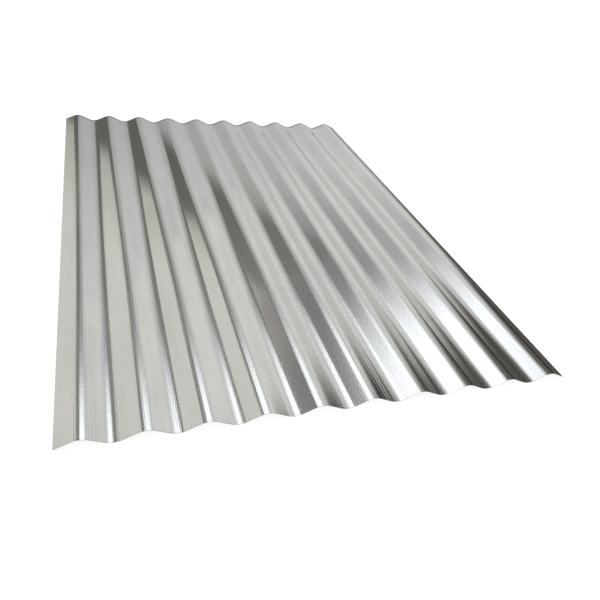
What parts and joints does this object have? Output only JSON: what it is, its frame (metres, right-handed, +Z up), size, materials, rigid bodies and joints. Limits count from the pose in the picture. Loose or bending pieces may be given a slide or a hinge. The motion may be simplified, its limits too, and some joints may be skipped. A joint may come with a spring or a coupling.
{
  "type": "corrugated metal sheet",
  "caption": "Rectangular sheet of thin galvanised steel, roll-formed into round parallel waves along its length, with a side lap lip on each long edge.",
  "frame": {"origin": "middle of the sheet's outline, on the level plane that the undersides of the valleys touch", "axes": "+X across the waves towards the right-hand edge, +Y along the waves towards the far end in the picture, +Z up, away from the floor"},
  "size_m": [0.6604, 0.9144, 0.0118],
  "materials": {
    "galvanised_steel": "bright hot-dip galvanised, semi-gloss with a fine grain"
  },
  "bodies": {
    "root": {"corrugated_sheet": "galvanised_steel"}
  },
  "joints": []
}
